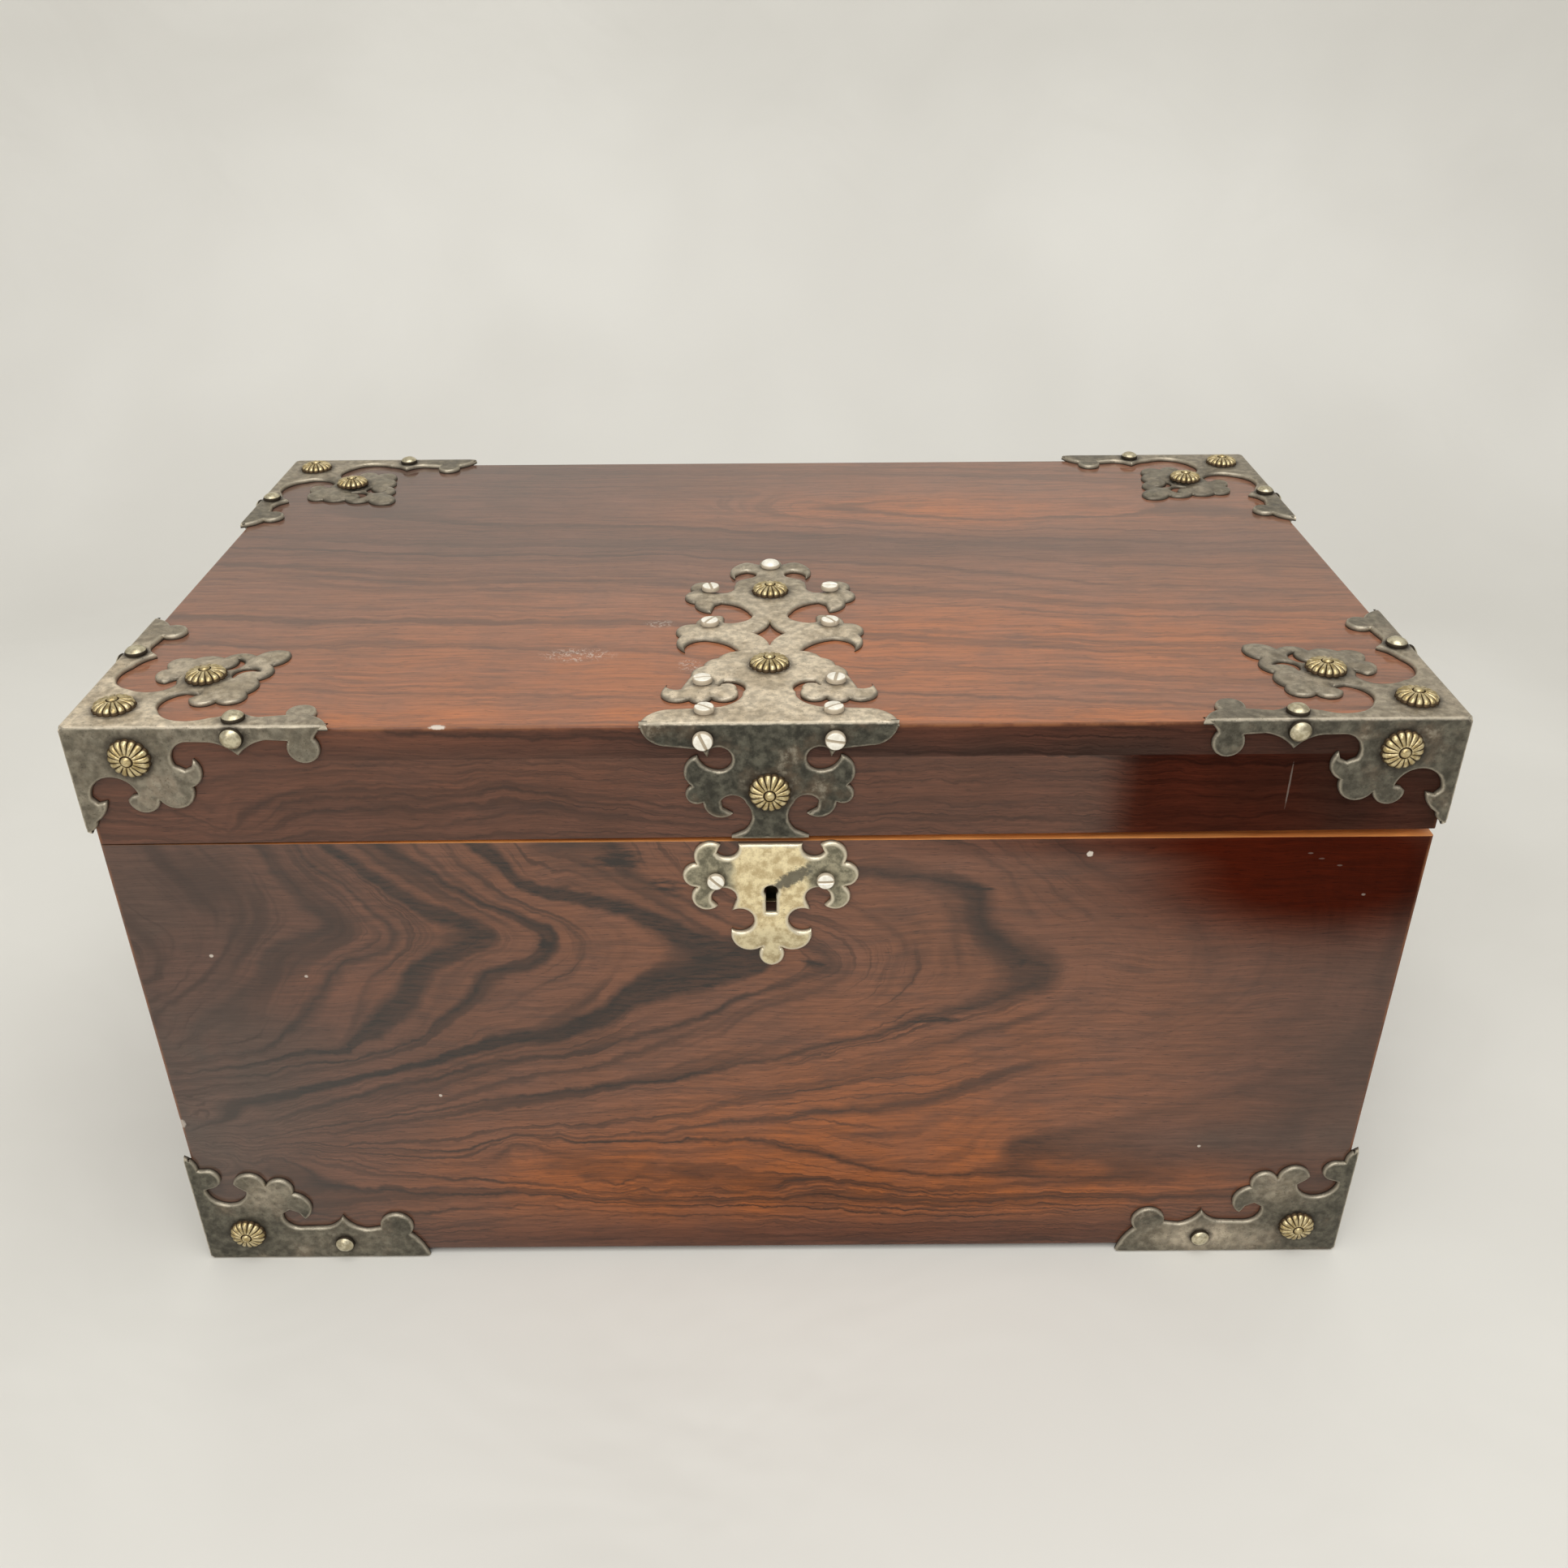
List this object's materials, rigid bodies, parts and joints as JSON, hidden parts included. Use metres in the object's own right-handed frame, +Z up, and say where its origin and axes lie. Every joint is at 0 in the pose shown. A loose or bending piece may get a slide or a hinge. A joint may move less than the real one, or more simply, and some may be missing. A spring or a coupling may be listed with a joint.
{
  "type": "jewellery box",
  "caption": "Antique rosewood jewellery box with a hinged lift lid, pierced metal corner mounts, a middle strap, a keyhole escutcheon over a box lock and a padded lift-out tray.",
  "frame": {"origin": "middle of the footprint, on the surface that the box stands on", "axes": "+X to the right along the front, +Y from the front with the lock towards the hinges, +Z up"},
  "size_m": [0.3116, 0.1886, 0.1668],
  "materials": {
    "rosewood": "glossy lacquer",
    "light_wood": "satin",
    "tray_wood": "satin",
    "mount_metal": "aged, tarnished",
    "escutcheon_brass": "worn",
    "nail_brass": "aged",
    "screw_metal": "bright",
    "hinge_brass": "satin",
    "lock_metal": "satin",
    "velvet": "pile"
  },
  "bodies": {
    "case": {"case_front": "rosewood", "case_back": "rosewood", "case_left": "rosewood", "case_right": "rosewood", "case_bottom": "rosewood", "case_lip": "light_wood", "tray_runners": "light_wood", "base_mount_front_left": "mount_metal", "base_mount_front_right": "mount_metal", "base_mount_back_left": "mount_metal", "base_mount_back_right": "mount_metal", "escutcheon": "escutcheon_brass", "base_rosettes": "nail_brass", "base_nails": "nail_brass", "escutcheon_screws": "screw_metal", "lock_case": "lock_metal", "lock_cap": "lock_metal", "lock_drill_pin": "lock_metal", "hinge_case_leaf_left": "hinge_brass", "hinge_case_leaf_right": "hinge_brass", "hinge_pins": "hinge_brass", "case_floor_pad": "velvet", "case_wall_lining": "velvet"},
    "lid": {"lid_top": "rosewood", "lid_front": "rosewood", "lid_back": "rosewood", "lid_left": "rosewood", "lid_right": "rosewood", "lid_mount_front_left": "mount_metal", "lid_mount_front_right": "mount_metal", "lid_mount_back_left": "mount_metal", "lid_mount_back_right": "mount_metal", "strap": "mount_metal", "lid_rosettes": "nail_brass", "lid_nails": "nail_brass", "strap_rosettes": "nail_brass", "strap_screws": "screw_metal", "link_plate": "lock_metal", "hinge_lid_leaf_left": "hinge_brass", "hinge_lid_leaf_right": "hinge_brass", "lid_pad": "velvet"},
    "bolt": {"lock_bolt": "lock_metal"},
    "tray": {"tray_pads": "velvet", "ring_rolls": "velvet", "tray_front": "tray_wood", "tray_back": "tray_wood", "tray_left": "tray_wood", "tray_right": "tray_wood", "tray_floor": "tray_wood", "tray_divider_long": "tray_wood", "tray_dividers_cross": "tray_wood"}
  },
  "joints": [
    {"name": "lid_hinge", "type": "hinge", "parent": "case", "child": "lid", "pos_m": [0, 0.0885, 0.1331], "axis": [-1, 0, 0], "range_deg": [0, 98]},
    {"name": "bolt_slide", "type": "slide", "parent": "case", "child": "bolt", "axis": [1, 0, 0], "range_m": [0, 0.005]},
    {"name": "tray_lift", "type": "slide", "parent": "case", "child": "tray", "axis": [0, 0, 1], "range_m": [0, 0.02]}
  ]
}
